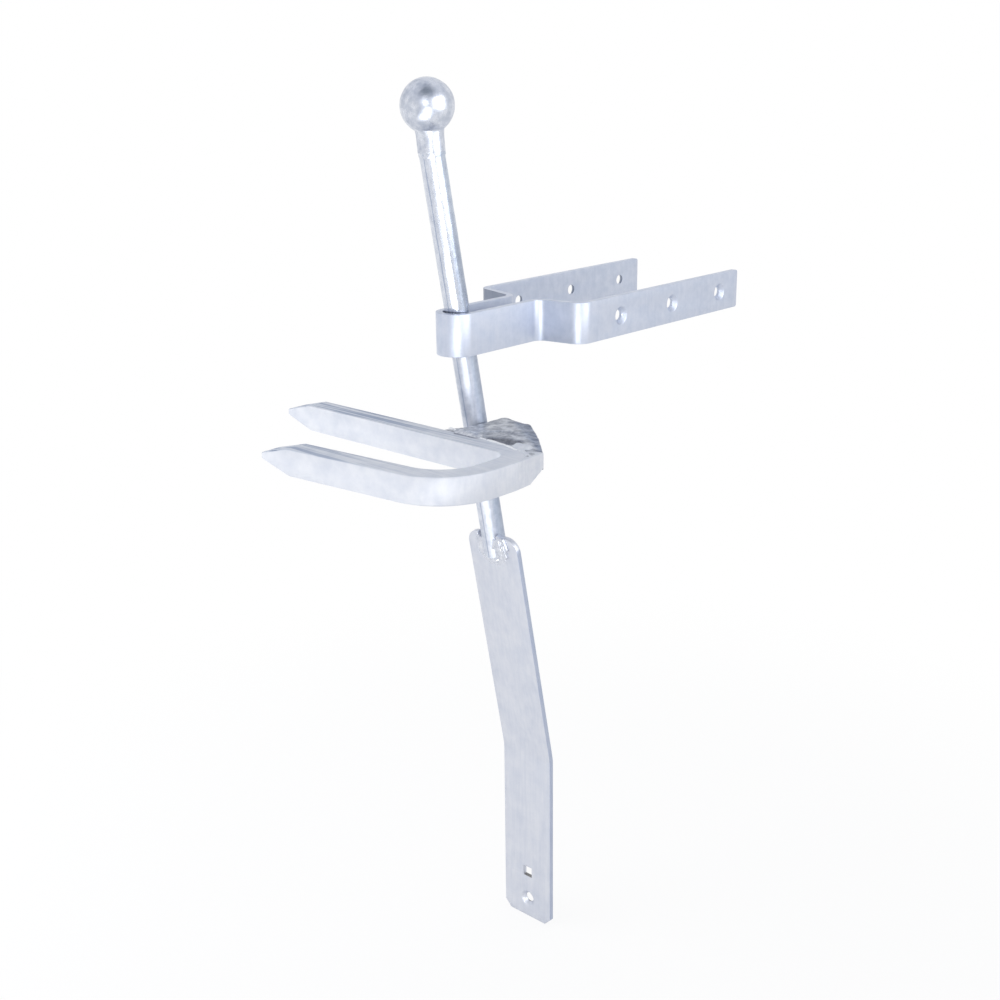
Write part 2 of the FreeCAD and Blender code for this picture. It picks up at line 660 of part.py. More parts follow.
def hook_corners():
    """Corners of the hook in plan. The side at the leg runs into it and is cut to seat."""
    leg = "sizes.staple_offset"
    inside_leg = "(sizes.staple_offset - sizes.bar_width / 4)"
    nose = "(sizes.staple_offset + sizes.hook_reach)"
    nose_low = "(%s - sizes.hook_nose_width)" % CATCH_Y
    ramp_end_y = "(sizes.staple_bow + sizes.hook_end_inset)"
    ramp_end_x = "(%s - (%s - %s) / tan(sizes.hook_ramp_angle * 1 deg))" % (
        nose, nose_low, ramp_end_y)
    bulge_x = "((%s + %s) / 2 + sizes.hook_ramp_bulge * sin(sizes.hook_ramp_angle * 1 deg))" % (
        nose, ramp_end_x)
    bulge_y = "((%s + %s) / 2 - sizes.hook_ramp_bulge * cos(sizes.hook_ramp_angle * 1 deg))" % (
        nose_low, ramp_end_y)
    back = "(%s - sizes.hook_arm_width)" % CATCH_Y
    hollow_far = "(%s + sizes.hook_hollow_width)" % leg
    toe_x = "(%s + sizes.hook_toe_reach)" % leg
    toe_slope = "(sizes.hook_toe_rise / sizes.hook_toe_reach)"
    toe_y = "(%s + sizes.hook_toe_rise + %s * sizes.bar_width / 4)" % (CATCH_Y, toe_slope)
    return [
        (inside_leg, toe_y),
        (toe_x, CATCH_Y),
        (nose, CATCH_Y),
        (nose, nose_low),
        (bulge_x, bulge_y),
        (ramp_end_x, ramp_end_y),
        ("sizes.staple_offset - sizes.bar_width * 0.75", ramp_end_y),
        ("sizes.staple_offset - sizes.bar_width * 0.75",
         "%s - sizes.hook_hollow_back - sizes.hook_hollow_slant" % back),
        (leg, "%s - sizes.hook_hollow_back - sizes.hook_hollow_slant" % back),
        (hollow_far, "%s - sizes.hook_hollow_back" % back),
        (hollow_far, back),
        (inside_leg, back),
    ]


def make_hook(staple):
    body = new_body("hook_blank")
    plan = new_sketch(body, "hook_plan", "XY_Plane")
    corners = hook_corners()
    draw_outline(plan, corners)
    feature = pad(body, "hook_bar", plan, "sizes.hook_thickness")
    noses = [("hook_nose_back", *corners[2], "sizes.hook_nose_radius"),
             ("hook_nose_front", *corners[3], "sizes.hook_nose_radius"),
             ("hook_hollow_corner", *corners[9], "sizes.hook_nose_radius"),
             ("hook_hollow_back_corner", *corners[10], "sizes.hook_nose_radius")]
    round_corners(body, feature, noses)
    body.setExpression("Placement.Base.z",
                       "sizes.staple_foot + sizes.bar_height - sizes.hook_thickness")
    return cut_away("catch_hook", body, staple)


def make_seam_weld(name, y, length, staple, hook):
    """A low round bead of weld on the seam between the staple's leg and the hook."""
    body = new_body(name + "_bead")
    end = new_sketch(body, name + "_end", "XZ_Plane")
    rise, half_width = "sizes.hook_weld_rise", "(sizes.hook_weld_width / 2)"
    radius = "((%s^2 + %s^2) / (2 * %s))" % (half_width, rise, rise)
    draw_circle(end, ("0", "%s - %s" % (rise, radius)), "2 * " + radius)
    feature = pad(body, name + "_bar", end, length, True)
    rims = edges_of(feature, lambda edge: edge.Curve.TypeId == "Part::GeomCircle")
    dress(body, "Chamfer", name + "_slopes", feature, rims, rise)
    body.setExpression("Placement.Base.x", "sizes.staple_offset")
    body.setExpression("Placement.Base.y", y)
    body.setExpression("Placement.Base.z", "sizes.staple_foot + sizes.bar_height")
    off_staple = cut_away(name + "_off_staple", body, staple)
    return cut_away(name, off_staple, hook)


def check_document():
    for thing in doc.Objects:
        faults = [state for state in thing.State if state in ("Invalid", "Error")]
        if faults:
            raise RuntimeError("%s: %s" % (thing.Label, thing.State))


def write_parts(parts):
    os.makedirs("parts", exist_ok=True)
    for thing in parts:
        if not thing.Shape.isValid() or not thing.Shape.Solids:
            raise RuntimeError("bad shape: " + thing.Label)
        thing.Shape.exportStep("parts/%s.step" % thing.Label)


def main():
    fill_sheet()
    leaf = make_spring_leaf()
    rod = make_rod()
    knob = make_knob()
    rod_weld = make_rod_weld(leaf, rod)
    knob_weld = make_knob_weld(rod, knob)
    strap = make_guide_strap()
    staple = make_staple()
    hook = make_hook(staple)
    arm_weld = make_seam_weld("arm_weld", "%s - sizes.hook_arm_width / 2" % CATCH_Y,
                              "sizes.hook_weld_length", staple, hook)
    end_weld = make_seam_weld("end_weld", "sizes.staple_bow + sizes.hook_weld_end_inset",
                              "sizes.hook_weld_end_length", staple, hook)
    doc.recompute()
    check_document()
    write_parts([leaf, rod, knob, rod_weld, knob_weld, strap, staple, hook,
                 arm_weld, end_weld])


main()
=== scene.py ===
import math

import bmesh
import bpy
from mathutils import Matrix, Vector, noise


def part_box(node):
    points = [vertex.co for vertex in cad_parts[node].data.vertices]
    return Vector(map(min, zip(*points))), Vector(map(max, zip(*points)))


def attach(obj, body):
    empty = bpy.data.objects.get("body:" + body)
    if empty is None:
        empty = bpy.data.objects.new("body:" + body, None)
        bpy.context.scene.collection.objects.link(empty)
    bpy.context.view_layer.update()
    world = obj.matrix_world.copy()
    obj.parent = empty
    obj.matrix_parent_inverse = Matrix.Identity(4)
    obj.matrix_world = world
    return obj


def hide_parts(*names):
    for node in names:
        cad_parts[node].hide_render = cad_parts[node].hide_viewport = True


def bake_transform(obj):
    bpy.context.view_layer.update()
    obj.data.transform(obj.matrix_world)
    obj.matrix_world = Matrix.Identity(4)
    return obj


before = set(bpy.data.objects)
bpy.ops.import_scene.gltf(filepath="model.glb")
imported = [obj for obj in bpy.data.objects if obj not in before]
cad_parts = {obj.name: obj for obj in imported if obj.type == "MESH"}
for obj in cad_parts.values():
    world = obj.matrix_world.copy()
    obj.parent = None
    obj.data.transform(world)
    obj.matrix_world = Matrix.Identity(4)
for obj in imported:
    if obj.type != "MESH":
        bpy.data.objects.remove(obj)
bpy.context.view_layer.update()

# A galvanised gate latch on a white ground. Metres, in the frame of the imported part:
# +X along the gate's rail, +Y through the gate, +Z up. Lengths written with MM are millimetres.

MM = 0.001
UP = (0, 0, 1)
FIXED, SWING = "fixed", "swing"


def mm(*values):
    return Vector(values) * MM


# Meshes.

JOIN_DISTANCE = 0.001 * MM
FLAT_ANGLE = math.radians(0.5)
EDGE_ANGLE = math.radians(28)
CREASE, ROUND_CREASE = math.radians(35), math.radians(60)


def cleaned(node):
    """A copy of a CAD node's mesh with its points joined and its flat faces whole."""
    shape = bmesh.new()
    shape.from_mesh(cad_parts[node].data)
    bmesh.ops.remove_doubles(shape, verts=shape.verts, dist=JOIN_DISTANCE)
    bmesh.ops.dissolve_limit(shape, angle_limit=FLAT_ANGLE, verts=shape.verts, edges=shape.edges)
    return shape


def new_piece(name, shape):
    mesh = bpy.data.meshes.new(name)
    shape.to_mesh(mesh)
    shape.free()
    piece = bpy.data.objects.new(name, mesh)
    bpy.context.scene.collection.objects.link(piece)
    return piece


def settle(piece):
    """Put the modifiers of a piece into its mesh."""
    graph = bpy.context.evaluated_depsgraph_get()
    made = bpy.data.meshes.new_from_object(piece.evaluated_get(graph))
    piece.modifiers.clear()
    piece.data = made
    return piece


def soften(piece, width, segments):
    """Round the sharp edges a little, as a thick coat of zinc does."""
    bevel = piece.modifiers.new("edges", "BEVEL")
    bevel.width = width
    bevel.segments = segments
    bevel.limit_method = "ANGLE"
    bevel.angle_limit = EDGE_ANGLE
    bevel.use_clamp_overlap = True
    return settle(piece)


def remeshed(piece, size, passes):
    """Give a piece an even net of small faces, fusing what overlaps."""
    net = piece.modifiers.new("net", "REMESH")
    net.mode = "VOXEL"
    net.voxel_size = size
    settle(piece)
    ease = piece.modifiers.new("ease", "SMOOTH")
    ease.factor = 0.5
    ease.iterations = passes
    return settle(piece)


def move(piece, way):
    """Move every point by what way(place, normal) says."""
    mesh = piece.data
    steps = [way(vertex.co, vertex.normal) for vertex in mesh.vertices]
    for vertex, step in zip(mesh.vertices, steps):
        vertex.co += step
    mesh.update()
    return piece


def lump(place, size, seed=0.0):
    """Smooth noise from -1 to 1; size is that of the lumps in metres."""
    return noise.noise(place / size + Vector((seed, seed, seed)))


def lumps(place, layers):
    """Lumps of several sizes together; a layer is (height, size, seed)."""
    return sum(height * lump(place, size, seed) for height, size, seed in layers)


def turned(name, start, end, profile, around, relief):
    """A turned piece: profile lists (distance from start, radius); relief adds to the radius."""
    axis = (end - start).normalized()
    side = axis.orthogonal().normalized()
    across = axis.cross(side)
    shape = bmesh.new()
    rings = []
    for distance, radius in profile:
        ring = []
        for k in range(around):
            angle = 2 * math.pi * k / around
            out = side * math.cos(angle) + across * math.sin(angle)
            spot = start + axis * distance + out * radius
            ring.append(shape.verts.new(spot + out * relief(spot) * min(1, radius / MM)))
        rings.append(ring)
    for low, high in zip(rings, rings[1:]):
        for k in range(around):
            n = (k + 1) % around
            shape.faces.new((low[k], low[n], high[n], high[k]))
    shape.faces.new(list(reversed(rings[0])))
    shape.faces.new(rings[-1])
    return new_piece(name, shape)


def coat(piece, material, crease=CREASE):
    """Give a piece its material, and smooth shading except across edges above the crease."""
    piece.data.materials.clear()
    piece.data.materials.append(material)
    for face in piece.data.polygons:
        face.use_smooth = True
    piece.data.set_sharp_from_angle(angle=crease)


def stand_in(piece, node, body):
    """Let a piece stand for a CAD node, on that node's body."""
    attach(piece, body)
    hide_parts(node)


def end_centres(node):
    """Middles of the points near each end of an upright turned CAD node."""
    low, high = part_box(node)
    middle = (low.z + high.z) / 2
    places = [v.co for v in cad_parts[node].data.vertices]
    ends = [[p for p in places if p.z < middle], [p for p in places if p.z >= middle]]
    return [sum(end, Vector()) / len(end) for end in ends]


# Places that both the shapes and the zinc need. Each end of the rod lies half a chamfer further
# out than the middle of its points.

PHOTO_RIGHT = Vector((0.676, -0.736, 0))
ROD_RADIUS = 9 * MM
ROD_CHAMFER = 1 * MM
ROD_FOOT, ROD_TOP = end_centres("latch_rod")
ROD_AXIS = (ROD_TOP - ROD_FOOT).normalized()
ROD_FOOT -= ROD_AXIS * 0.5 * ROD_CHAMFER
ROD_TOP += ROD_AXIS * 0.5 * ROD_CHAMFER
ROD_LENGTH = (ROD_TOP - ROD_FOOT).length
LEAF_LOW, LEAF_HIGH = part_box("spring_leaf")
LEAF_EDGE = 0.5 * MM
RAMP_START, RAMP_SIDE = mm(-28.5, -13, 0), Vector((0.809, -0.588, 0))
HOLLOW_CENTRE = mm(-79, -46, 0)
HOLLOW_REACH = (17 * MM, 7.5 * MM)
HOLLOW_TURN = math.radians(-69)


# Shader nodes.

def node_of(tree, kind, inputs=None, **settings):
    """A new shader node; an input gets a value or the output of another node."""
    made = tree.nodes.new(kind)
    for name, value in settings.items():
        setattr(made, name, value)
    for name, value in (inputs or {}).items():
        if isinstance(value, bpy.types.NodeSocket):
            tree.links.new(value, made.inputs[name])
        else:
            made.inputs[name].default_value = value
    return made


def maths(tree, operation, *values):
    return node_of(tree, "ShaderNodeMath", dict(enumerate(values)), operation=operation).outputs[0]


def vector_maths(tree, operation, *values, out="Value"):
    made = node_of(tree, "ShaderNodeVectorMath", dict(enumerate(values)), operation=operation)
    return made.outputs[out]


def object_place(tree):
    return node_of(tree, "ShaderNodeTexCoord").outputs["Object"]


def noise_of(tree, place, size, detail, roughness=0.5):
    """Noise from 0 to 1; size is that of its patches in metres."""
    return node_of(tree, "ShaderNodeTexNoise", {
        "Vector": place, "Scale": 1 / size, "Detail": detail,
        "Roughness": roughness}).outputs["Fac"]


def drawn_out(tree, place, way):
    """A place for noise that is drawn out where the way's share is small."""
    return node_of(tree, "ShaderNodeMapping", {"Vector": place, "Scale": way}).outputs["Vector"]


def ramp_of(tree, share, stops):
    """A colour ramp; stops are (position, colour)."""
    made = node_of(tree, "ShaderNodeValToRGB", {"Fac": share})
    points = made.color_ramp.elements
    while len(points) < len(stops):
        points.new(0.5)
    for point, (position, colour) in zip(points, stops):
        point.position = position
        point.color = (*colour, 1)
    return made.outputs["Color"]


def span_of(tree, value, limits, first=0.0, last=1.0, **settings):
    """From first to last, as a value goes from one limit to the other."""
    return node_of(tree, "ShaderNodeMapRange", {
        "Value": value, "From Min": limits[0], "From Max": limits[1],
        "To Min": first, "To Max": last}, **settings).outputs["Result"]


# Masks. A mask is 0 to 1, or 0 to most, over a part of a piece. Its limits are the values at
# which it is 0 and full: cosines for facing, places for along.

def facing(tree, way, limits):
    """Full where a face looks towards a direction."""
    normal = node_of(tree, "ShaderNodeTexCoord").outputs["Normal"]
    return span_of(tree, vector_maths(tree, "DOT_PRODUCT", normal, way), limits)


def along(tree, place, axis, limits, most=1.0):
    """0 to most between two places on an axis."""
    part = node_of(tree, "ShaderNodeSeparateXYZ", {"Vector": place}).outputs[axis]
    return span_of(tree, part, limits, last=most)


def both(tree, first, second):
    return maths(tree, "MULTIPLY", first, second)


LEAF_EDGE_LIMITS = (LEAF_HIGH.y - LEAF_EDGE, LEAF_HIGH.y - 0.2 * MM)


def leaf_edge_shade(tree, place):
    """Painted shade on the sheared edges of the leaf."""
    across = node_of(tree, "ShaderNodeSeparateXYZ", {"Vector": place}).outputs["Y"]
    return span_of(tree, maths(tree, "ABSOLUTE", across), LEAF_EDGE_LIMITS)


LEVEL_LIMITS = (0.85, 0.95)
BOLT_WALL_LIMITS = (80 * MM, 75 * MM)


def bolt_wall_shade(tree, place):
    """Painted shade on the lower wall of the square hole."""
    return both(tree, facing(tree, UP, LEVEL_LIMITS), along(tree, place, "Z", BOLT_WALL_LIMITS))


TO_POST = (-1, 0, 0)
TO_POST_LIMITS = (0.3, 0.6)
FAR_HALF_LIMITS = (24 * MM, 28 * MM)


def far_shoulder_shade(tree, place):
    """Painted shade on the far half's faces towards the post, and in its bores."""
    return both(tree, facing(tree, TO_POST, TO_POST_LIMITS),
                along(tree, place, "Y", FAR_HALF_LIMITS))


ROD_RIGHT = PHOTO_RIGHT - ROD_AXIS * PHOTO_RIGHT.dot(ROD_AXIS)
ROD_SIDE_LIMITS = (0.3, 0.55)
ROD_LOW_SIDE_LIMITS = (0.05, 0.2)
ROD_LOW_LIMITS = (600 * MM, 570 * MM)


def rod_side_shade(tree, place):
    """Painted shade on the rod's side that is on the right as the camera sees it."""
    return facing(tree, ROD_RIGHT.normalized(), ROD_SIDE_LIMITS)


def rod_low_side_shade(tree, place):
    """Lower down, the rod's painted shade on the right begins nearer to its middle."""
    return both(tree, facing(tree, ROD_RIGHT.normalized(), ROD_LOW_SIDE_LIMITS),
                along(tree, place, "Z", ROD_LOW_LIMITS))


ROD_LINE_TURN = math.radians(-37)
ROD_LINE = (Matrix.Rotation(ROD_LINE_TURN, 3, ROD_AXIS) @ ROD_RIGHT.cross(ROD_AXIS)).normalized()
ROD_LINE_LIMITS = (0.9976, 0.9993)
ROD_LINE_TOP_LIMITS = (730 * MM, 720 * MM)
ROD_LINE_MOST = 0.7


def rod_dark_reflection(tree, place):
    """A painted reflection: a thin dark line along the rod."""
    return both(tree, facing(tree, ROD_LINE, ROD_LINE_LIMITS),
                along(tree, place, "Z", ROD_LINE_TOP_LIMITS, ROD_LINE_MOST))


ROD_DULL_LIMITS = (510 * MM, 470 * MM)
ROD_DULL_MOST = 0.22


def rod_dull_foot(tree, place):
    """The roughness that the lower part of the rod has beyond the rest."""
    return along(tree, place, "Z", ROD_DULL_LIMITS, ROD_DULL_MOST)


LEG_TOP_LIMITS = (0.6, 0.9)
LEG_BEVEL_LIMITS = (0.5, 0.65)
BELOW_TOP_LIMITS = (0.9, 0.8)
# Places along Y over which the painted shade on the legs' upper faces grows.
LEG_SHADE_LIMITS = (-80 * MM, 60 * MM)
LEG_SHADE_MOST = 0.45
LINE_WAY = (1, 0.03, 1)
LINE_WIDTH = 3 * MM
LINE_SHARE_LIMITS = (0.47, 0.6)
LEG_LINE_LIMITS = (-90 * MM, 60 * MM)


def leg_top_shade(tree, place):
    """Painted shade on the upper faces of the legs, more towards their points."""
    return both(tree, facing(tree, UP, LEG_TOP_LIMITS),
                along(tree, place, "Y", LEG_SHADE_LIMITS, LEG_SHADE_MOST))


def leg_streaks_and_shade(tree, place):
    """Zinc streaks on the legs' upper faces, with painted shade, stronger towards their points."""
    lines = noise_of(tree, drawn_out(tree, place, LINE_WAY), LINE_WIDTH, detail=2.0)
    lines = span_of(tree, lines, LINE_SHARE_LIMITS)
    return both(tree, both(tree, facing(tree, UP, LEG_BEVEL_LIMITS), lines),
                along(tree, place, "Y", LEG_LINE_LIMITS))


def leg_bevel_shade(tree, place):
    """Painted shade on the bevels between the upper faces and the sides."""
    return both(tree, facing(tree, UP, LEG_BEVEL_LIMITS), facing(tree, UP, BELOW_TOP_LIMITS))


RAMP_BAND = (6 * MM, 1 * MM)


def ramp_bevel_shade(tree, place):
    """Painted shade on the bevelled ramp of the hook."""
    out = vector_maths(tree, "DOT_PRODUCT", place, RAMP_SIDE)
    edge = RAMP_START.dot(RAMP_SIDE)
    return span_of(tree, out, [edge - inside for inside in RAMP_BAND])


HOLLOW_LIMITS = (1.02, 0.85)


def hollow(tree, place):
    """Painted shade in the hollow that the welds left open; its limits are shares of its reach."""
    centred = node_of(tree, "ShaderNodeMapping", {
        "Vector": place, "Location": HOLLOW_CENTRE, "Rotation": (0, 0, HOLLOW_TURN),
        "Scale": (*HOLLOW_REACH, 1)}, vector_type="TEXTURE").outputs["Vector"]
    flat = vector_maths(tree, "MULTIPLY", centred, (1, 1, 0), out="Vector")
    return span_of(tree, vector_maths(tree, "LENGTH", flat), HOLLOW_LIMITS)


# Zinc. The three mix numbers are sockets of a colour mix: its two inputs and its output. The
# greys and blues are tones of painted shade that a mask multiplies the zinc by.

TONE_STOPS = (0.36, 0.62)
GLOSS_STOPS = (0.3, 0.7)
GLOSS_SPREAD = 0.06
GRAIN = 1.2 * MM
MIX_FIRST, MIX_SECOND, MIX_COLOUR = 6, 7, 2
# The tones below are painted shade that the masks multiply into the zinc.
BLUE_GREY_SHADE = (0.5, 0.56, 0.68)
PALE_BLUE_SHADE = (0.7, 0.75, 0.84)
BROWN_GREY_SHADE = (0.36, 0.34, 0.3)
HOLLOW_SHADE_GREY = (0.5, 0.5, 0.52)
SHADE_GREY = (0.42, 0.44, 0.48)
SOFT_GREY_SHADE = (0.8, 0.81, 0.83)
SOFT_BLUE_SHADE = (0.79, 0.83, 0.88)


def galvanised(name, pale, dark, roughness, metallic, patch=18 * MM, streak=2.5 * MM,
               streak_way=(1, 1, 0.08), streak_share=0.4, bump=0.02, painted_shades=(), dull=None):
    """Zinc: two tones in soft patches and long streaks, uneven gloss and an uneven skin.

    Painted shades pair a mask with the tone it multiplies the zinc by; dull adds roughness.
    """
    material = bpy.data.materials.new(name)
    material.use_nodes = True
    tree = material.node_tree
    shader = tree.nodes["Principled BSDF"]
    place = object_place(tree)
    patches = noise_of(tree, place, patch, detail=4.0, roughness=0.6)
    streaks = noise_of(tree, drawn_out(tree, place, streak_way), streak, detail=3.0)
    tone = node_of(tree, "ShaderNodeMix", {"Factor": streak_share, "A": patches, "B": streaks},
                   data_type="FLOAT").outputs["Result"]
    tone = ramp_of(tree, tone, list(zip(TONE_STOPS, (dark, pale))))
    for mask, shade_tone in painted_shades:
        tone = node_of(tree, "ShaderNodeMix", {
            "Factor": mask(tree, place), MIX_FIRST: tone, MIX_SECOND: (*shade_tone, 1)},
            data_type="RGBA", blend_type="MULTIPLY").outputs[MIX_COLOUR]
    tree.links.new(tone, shader.inputs["Base Color"])
    gloss = span_of(tree, patches, GLOSS_STOPS, roughness + GLOSS_SPREAD, roughness - GLOSS_SPREAD)
    if dull:
        gloss = maths(tree, "ADD", gloss, dull(tree, place))
    tree.links.new(gloss, shader.inputs["Roughness"])
    shader.inputs["Metallic"].default_value = metallic
    height = maths(tree, "ADD", noise_of(tree, place, GRAIN, detail=3.0), streaks)
    raised = node_of(tree, "ShaderNodeBump", {
        "Height": height, "Strength": 1.0, "Distance": bump * MM}).outputs["Normal"]
    tree.links.new(raised, shader.inputs["Normal"])
    return material


def leaf_zinc():
    return galvanised("zinc_flat", (0.65, 0.67, 0.73), (0.56, 0.59, 0.67), roughness=0.42,
                      metallic=0.7, painted_shades=[(leaf_edge_shade, PALE_BLUE_SHADE), (bolt_wall_shade, BROWN_GREY_SHADE)])


def strap_zinc():
    return galvanised("zinc_strap", (0.58, 0.62, 0.72), (0.5, 0.55, 0.66), roughness=0.41,
                      metallic=0.72, patch=9 * MM, streak_share=0.25,
                      painted_shades=[(far_shoulder_shade, SHADE_GREY)])


def rod_zinc():
    painted_shades = [(rod_side_shade, SOFT_BLUE_SHADE), (rod_low_side_shade, SOFT_GREY_SHADE), (rod_dark_reflection, BLUE_GREY_SHADE)]
    return galvanised("zinc_rod", (0.7, 0.73, 0.8), (0.52, 0.56, 0.65), roughness=0.25,
                      metallic=0.9, patch=5 * MM, streak=2 * MM, bump=0.03,
                      painted_shades=painted_shades, dull=rod_dull_foot)


def ball_zinc():
    return galvanised("zinc_ball", (0.68, 0.71, 0.78), (0.44, 0.48, 0.57), roughness=0.3,
                      metallic=0.9, patch=6 * MM, bump=0.03, streak_share=0.2)


def staple_zinc():
    painted_shades = [(leg_top_shade, SOFT_BLUE_SHADE), (leg_streaks_and_shade, BLUE_GREY_SHADE), (leg_bevel_shade, SOFT_BLUE_SHADE)]
    return galvanised("zinc_bar", (0.71, 0.73, 0.78), (0.62, 0.65, 0.72), roughness=0.6,
                      metallic=0.2, patch=12 * MM, streak_way=(1, 0.08, 0.25), painted_shades=painted_shades)


def hook_zinc():
    return galvanised("zinc_plate", (0.62, 0.64, 0.68), (0.26, 0.28, 0.33), roughness=0.42,
                      metallic=0.6, patch=6 * MM, bump=0.12, streak_share=0.1,
                      painted_shades=[(ramp_bevel_shade, BLUE_GREY_SHADE), (hollow, HOLLOW_SHADE_GREY)])


def weld_zinc():
    return galvanised("zinc_weld", (0.7, 0.72, 0.77), (0.36, 0.39, 0.46), roughness=0.34,
                      metallic=0.7, patch=3 * MM, bump=0.1)


def seam_zinc():
    return galvanised("zinc_seam", (0.7, 0.72, 0.77), (0.61, 0.64, 0.71), roughness=0.55,
                      metallic=0.2, patch=5 * MM, bump=0.05)


# A near-white tone: a painted highlight on the line of zinc along the leg's edge.
def rim_highlight_zinc():
    return galvanised("zinc_rim_highlight", (0.92, 0.93, 0.95), (0.8, 0.82, 0.86), roughness=0.5,
                      metallic=0.1, patch=4 * MM)


def leaf_weld_zinc():
    return galvanised("zinc_leaf_weld", (0.72, 0.74, 0.79), (0.52, 0.55, 0.63), roughness=0.24,
                      metallic=0.75, patch=4 * MM, bump=0.06)


# Spring leaf. It bends between the bolt and the rod's foot.

LEAF_SLICE = 5 * MM


def make_leaf():
    """The leaf, sliced across so that it can bend."""
    piece = soften(new_piece("leaf", cleaned("spring_leaf")), LEAF_EDGE, segments=2)
    shape = bmesh.new()
    shape.from_mesh(piece.data)
    for k in range(1, int((LEAF_HIGH.z - LEAF_LOW.z) / LEAF_SLICE)):
        parts = shape.verts[:] + shape.edges[:] + shape.faces[:]
        bmesh.ops.bisect_plane(shape, geom=parts, dist=JOIN_DISTANCE,
                               plane_co=(0, 0, LEAF_LOW.z + k * LEAF_SLICE), plane_no=UP)
    shape.to_mesh(piece.data)
    shape.free()
    coat(piece, leaf_zinc())
    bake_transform(piece)
    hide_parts("spring_leaf")


# Rod. Its skin is even up to a share of its length, and lumpier from there on.

ROD_RINGS, ROD_AROUND = 240, 72
EVEN_SHARE = 0.55
EVEN_RELIEF, RUN_RELIEF = 0.03, 0.1
RUN_SIZE, RUN_SQUEEZE = 5 * MM, 0.3
ROD_LUMPS = [(0.5, 3 * MM, 7)]


def rod_relief(spot):
    """Runs and lumps of zinc, stronger towards the top."""
    share = (spot - ROD_FOOT).dot(ROD_AXIS) / ROD_LENGTH
    strength = EVEN_RELIEF + RUN_RELIEF * max(0, share - EVEN_SHARE) / (1 - EVEN_SHARE)
    squeezed = Vector((spot.x, spot.y, spot.z * RUN_SQUEEZE))
    return strength * MM * (lump(squeezed, RUN_SIZE) + lumps(spot, ROD_LUMPS))


def make_rod(zinc):
    barrel = ROD_LENGTH - 2 * ROD_CHAMFER
    profile = [(0, ROD_RADIUS - ROD_CHAMFER)]
    profile += [(ROD_CHAMFER + barrel * k / ROD_RINGS, ROD_RADIUS) for k in range(ROD_RINGS + 1)]
    profile += [(ROD_LENGTH, ROD_RADIUS - ROD_CHAMFER)]
    piece = turned("rod", ROD_FOOT, ROD_TOP, profile, ROD_AROUND, rod_relief)
    coat(piece, zinc)
    stand_in(piece, "latch_rod", SWING)


# Ball and its neck. The neck's second ring keeps the shading of its chamfer off its side.

KNOB_GAP = 0.7 * MM
NECK_RADIUS = 9.6 * MM
NECK_CHAMFER, NECK_RING = 0.6 * MM, 0.8 * MM
NECK_RELIEF = 0.1
FILLET, FILLET_RINGS = 3 * MM, 14
FILLET_STRETCH, FILLET_RISE = 2, 0.16
BALL_RINGS, BALL_AROUND = 72, 96
BALL_START, BALL_CROWN = 0.12, 0.02
BALL_LUMPS = [(0.16, 9 * MM, 3), (0.06, 3 * MM, 5)]
BALL_FLATS = [(-0.75, -0.2, 0.75), (-0.9, -0.2, -0.1), (0.1, -1, -0.55)]
FLAT_COSINE, FLAT_DEPTH = 0.955, 9


def ball_profile(radius, reach, neck_end):
    """Neck, fillet and ball, as pairs of the distance from the foot and the radius there."""
    profile = [(0, NECK_RADIUS - NECK_CHAMFER), (NECK_CHAMFER, NECK_RADIUS),
               (NECK_RING, NECK_RADIUS)]
    for k in range(FILLET_RINGS + 1):
        share = k / FILLET_RINGS
        profile.append((neck_end - FILLET * (1 - share) * FILLET_STRETCH,
                        NECK_RADIUS + FILLET * FILLET_RISE * share ** 2))
    first = -math.acos(NECK_RADIUS / radius) + BALL_START
    last = math.pi / 2 - BALL_CROWN
    for k in range(BALL_RINGS):
        angle = first + (last - first) * k / (BALL_RINGS - 1)
        profile.append((reach + radius * math.sin(angle), radius * math.cos(angle)))
    return profile


def make_ball():
    """The forged ball on its neck, slightly out of round, with a few soft flats."""
    low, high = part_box("ball_knob")
    radius = (high.x - low.x) / 2
    centre = Vector(((low.x + high.x) / 2, (low.y + high.y) / 2, high.z - radius))
    foot = ROD_TOP + ROD_AXIS * KNOB_GAP
    axis = (centre - foot).normalized()
    reach = (centre - foot).length
    neck_end = reach - math.sqrt(radius ** 2 - NECK_RADIUS ** 2)
    flats = [Vector(way).normalized() for way in BALL_FLATS]

    def relief(spot):
        rough = lumps(spot, BALL_LUMPS)
        if (spot - foot).dot(axis) < neck_end:
            return rough * NECK_RELIEF * MM
        out = (spot - centre).normalized()
        cut = max(0.0, max(out.dot(flat) for flat in flats) - FLAT_COSINE) * FLAT_DEPTH
        return (rough - cut) * MM

    profile = ball_profile(radius, reach, neck_end)
    piece = turned("ball", foot, foot + axis * (reach + radius), profile, BALL_AROUND, relief)
    coat(piece, ball_zinc(), ROUND_CREASE)
    stand_in(piece, "ball_knob", SWING)


# Strap and staple: the CAD forms with edges rounded by the zinc.

STRAP_EDGE, STAPLE_EDGE = 0.5 * MM, 1.8 * MM


def dressed(node, name, zinc, width, segments):
    piece = soften(new_piece(name, cleaned(node)), width, segments)
    coat(piece, zinc)
    stand_in(piece, node, FIXED)


def make_strap():
    dressed("guide_strap", "strap", strap_zinc(), STRAP_EDGE, segments=3)


def make_staple():
    dressed("catch_staple", "staple", staple_zinc(), STAPLE_EDGE, segments=1)


# Hook: a torch-cut plate with a bevelled ramp and a hollow that the welds left open.

